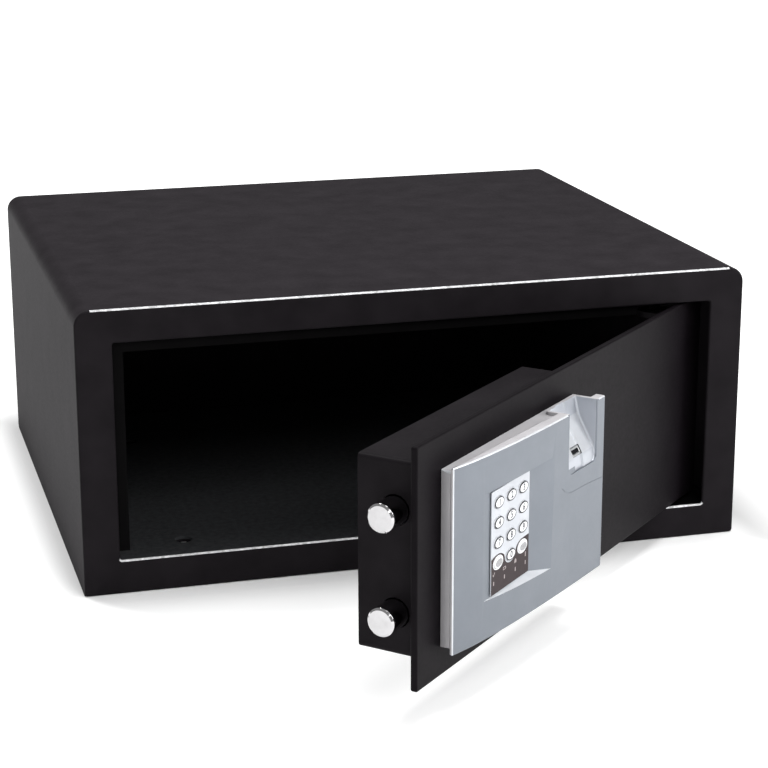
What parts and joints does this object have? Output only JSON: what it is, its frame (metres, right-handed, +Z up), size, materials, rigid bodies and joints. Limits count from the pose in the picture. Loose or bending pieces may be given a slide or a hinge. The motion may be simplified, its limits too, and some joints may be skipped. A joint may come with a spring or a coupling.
{
  "type": "laptop safe",
  "caption": "Low steel safe with a side-hinged front door, sliding bolts, a bulged keypad housing, a finger sensor and room for a laptop.",
  "frame": {"origin": "centre of the cabinet's underside", "axes": "+Z up, +Y from the door towards the back panel, +X to the right seen from the front"},
  "size_m": [0.43, 0.6102, 0.18],
  "materials": {
    "black_paint": "satin black powder coat with a fine grain",
    "zinc_plate": "zinc plated steel",
    "chrome": "polished bright plating",
    "brass": "machined brass",
    "silver_plastic": "silver-grey painted plastic",
    "grey_plastic": "warm grey moulded plastic",
    "key_white": "white plastic with a grey printed ring and figure",
    "keypad_foil": "printed foil, light above and dark below",
    "black_plastic": "black moulded plastic",
    "sensor_glass": "glossy black sensor strip",
    "board_green": "green circuit board",
    "nylon": "natural nylon",
    "felt": "dark grey felt",
    "cell_sleeve": "plain dark sleeve with bare ends"
  },
  "bodies": {
    "cabinet": {"body_shell": "black_paint", "front_frame": "black_paint", "back_panel": "black_paint", "base_plate": "black_paint", "floor_mat": "felt", "door_stop": "black_paint", "hinge_bracket_lower": "black_paint", "hinge_bracket_upper": "black_paint", "hinge_pin_lower": "zinc_plate", "hinge_pin_upper": "zinc_plate", "hinge_washer": "nylon"},
    "door": {"door_plate": "black_paint", "hinge_strap": "black_paint", "lock_case": "black_paint", "case_screw_1": "zinc_plate", "case_screw_2": "zinc_plate", "case_screw_3": "zinc_plate", "case_screw_4": "zinc_plate", "battery_lid": "black_plastic", "battery_lid_screw": "zinc_plate", "battery_holder": "black_plastic", "battery_cell_1": "cell_sleeve", "battery_cell_2": "cell_sleeve", "battery_cell_3": "cell_sleeve", "battery_cell_4": "cell_sleeve", "circuit_board": "board_green", "bolt_guide": "zinc_plate", "guide_stud_1": "zinc_plate", "guide_stud_2": "zinc_plate", "gearbox": "black_plastic", "drive_motor": "zinc_plate", "fascia_base": "grey_plastic", "fascia_cover": "silver_plastic", "fascia_screw_1": "zinc_plate", "fascia_screw_2": "zinc_plate", "keypad_foil": "keypad_foil", "keypad_board": "board_green", "sensor_frame": "zinc_plate", "sensor_window": "sensor_glass"},
    "bolts": {"bolt_upper": "chrome", "bolt_lower": "chrome", "bolt_bar": "zinc_plate"},
    "pinion": {"drive_pinion": "brass"},
    "key_1": {"key_1": "key_white"},
    "key_2": {"key_2": "key_white"},
    "key_3": {"key_3": "key_white"},
    "key_4": {"key_4": "key_white"},
    "key_5": {"key_5": "key_white"},
    "key_6": {"key_6": "key_white"},
    "key_7": {"key_7": "key_white"},
    "key_8": {"key_8": "key_white"},
    "key_9": {"key_9": "key_white"},
    "key_enter": {"key_enter": "key_white"},
    "key_0": {"key_0": "key_white"},
    "key_clear": {"key_clear": "key_white"}
  },
  "joints": [
    {"name": "door_swing", "type": "hinge", "parent": "cabinet", "child": "door", "pos_m": [0.1623, -0.163, 0.09], "axis": [0, 0, 1], "range_deg": [-44.35, 55.65]},
    {"name": "bolt_throw", "type": "slide", "parent": "door", "child": "bolts", "axis": [-0.7151, -0.699, 0], "range_m": [-0.016, 0]},
    {"name": "pinion_spin", "type": "hinge", "parent": "door", "child": "pinion", "pos_m": [-0.02593, -0.35469, 0.082], "axis": [-0.699, 0.7151, 0], "range_deg": [-0.5, 105.3]},
    {"name": "key_1_press", "type": "slide", "parent": "door", "child": "key_1", "axis": [-0.699, 0.7151, 0], "range_m": [0, 0.0006], "stiffness_N_per_m": 2000, "springref_m": -0.0004},
    {"name": "key_2_press", "type": "slide", "parent": "door", "child": "key_2", "axis": [-0.699, 0.7151, 0], "range_m": [0, 0.0006], "stiffness_N_per_m": 2000, "springref_m": -0.0004},
    {"name": "key_3_press", "type": "slide", "parent": "door", "child": "key_3", "axis": [-0.699, 0.7151, 0], "range_m": [0, 0.0006], "stiffness_N_per_m": 2000, "springref_m": -0.0004},
    {"name": "key_4_press", "type": "slide", "parent": "door", "child": "key_4", "axis": [-0.699, 0.7151, 0], "range_m": [0, 0.0006], "stiffness_N_per_m": 2000, "springref_m": -0.0004},
    {"name": "key_5_press", "type": "slide", "parent": "door", "child": "key_5", "axis": [-0.699, 0.7151, 0], "range_m": [0, 0.0006], "stiffness_N_per_m": 2000, "springref_m": -0.0004},
    {"name": "key_6_press", "type": "slide", "parent": "door", "child": "key_6", "axis": [-0.699, 0.7151, 0], "range_m": [0, 0.0006], "stiffness_N_per_m": 2000, "springref_m": -0.0004},
    {"name": "key_7_press", "type": "slide", "parent": "door", "child": "key_7", "axis": [-0.699, 0.7151, 0], "range_m": [0, 0.0006], "stiffness_N_per_m": 2000, "springref_m": -0.0004},
    {"name": "key_8_press", "type": "slide", "parent": "door", "child": "key_8", "axis": [-0.699, 0.7151, 0], "range_m": [0, 0.0006], "stiffness_N_per_m": 2000, "springref_m": -0.0004},
    {"name": "key_9_press", "type": "slide", "parent": "door", "child": "key_9", "axis": [-0.699, 0.7151, 0], "range_m": [0, 0.0006], "stiffness_N_per_m": 2000, "springref_m": -0.0004},
    {"name": "key_enter_press", "type": "slide", "parent": "door", "child": "key_enter", "axis": [-0.699, 0.7151, 0], "range_m": [0, 0.0006], "stiffness_N_per_m": 2000, "springref_m": -0.0004},
    {"name": "key_0_press", "type": "slide", "parent": "door", "child": "key_0", "axis": [-0.699, 0.7151, 0], "range_m": [0, 0.0006], "stiffness_N_per_m": 2000, "springref_m": -0.0004},
    {"name": "key_clear_press", "type": "slide", "parent": "door", "child": "key_clear", "axis": [-0.699, 0.7151, 0], "range_m": [0, 0.0006], "stiffness_N_per_m": 2000, "springref_m": -0.0004}
  ],
  "couplings": [
    {"joint": "pinion_spin", "follows": "bolt_throw", "rad_per_m": -114.29}
  ]
}
